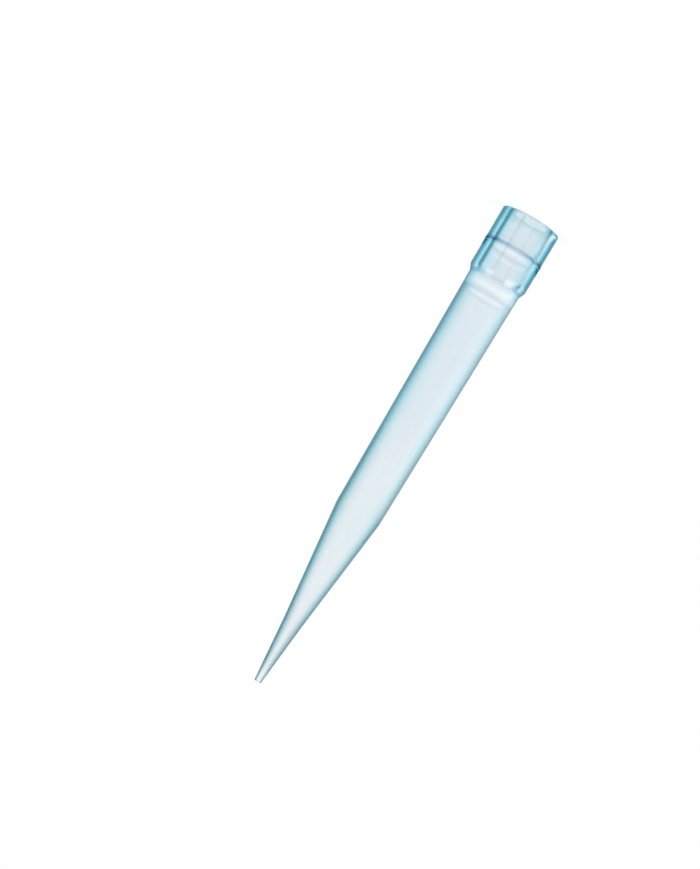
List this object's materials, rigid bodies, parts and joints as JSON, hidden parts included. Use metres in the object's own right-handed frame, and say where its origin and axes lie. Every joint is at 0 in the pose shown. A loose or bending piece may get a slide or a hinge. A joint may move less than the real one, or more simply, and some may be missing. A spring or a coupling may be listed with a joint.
{
  "type": "pipette tip",
  "caption": "Clear hollow pipette tip: ringed socket collar, sloping shoulder, long tapered barrel, cone and slender nose with a fine orifice.",
  "frame": {"origin": "centre of the collar's rim, on the surface that the tip stands on", "axes": "+Z along the tip's axis, from the socket's mouth up to the orifice"},
  "size_m": [0.018, 0.018, 0.15],
  "materials": {
    "clear_polypropylene": "gloss"
  },
  "bodies": {
    "root": {"pipette_tip": "clear_polypropylene"}
  },
  "joints": []
}
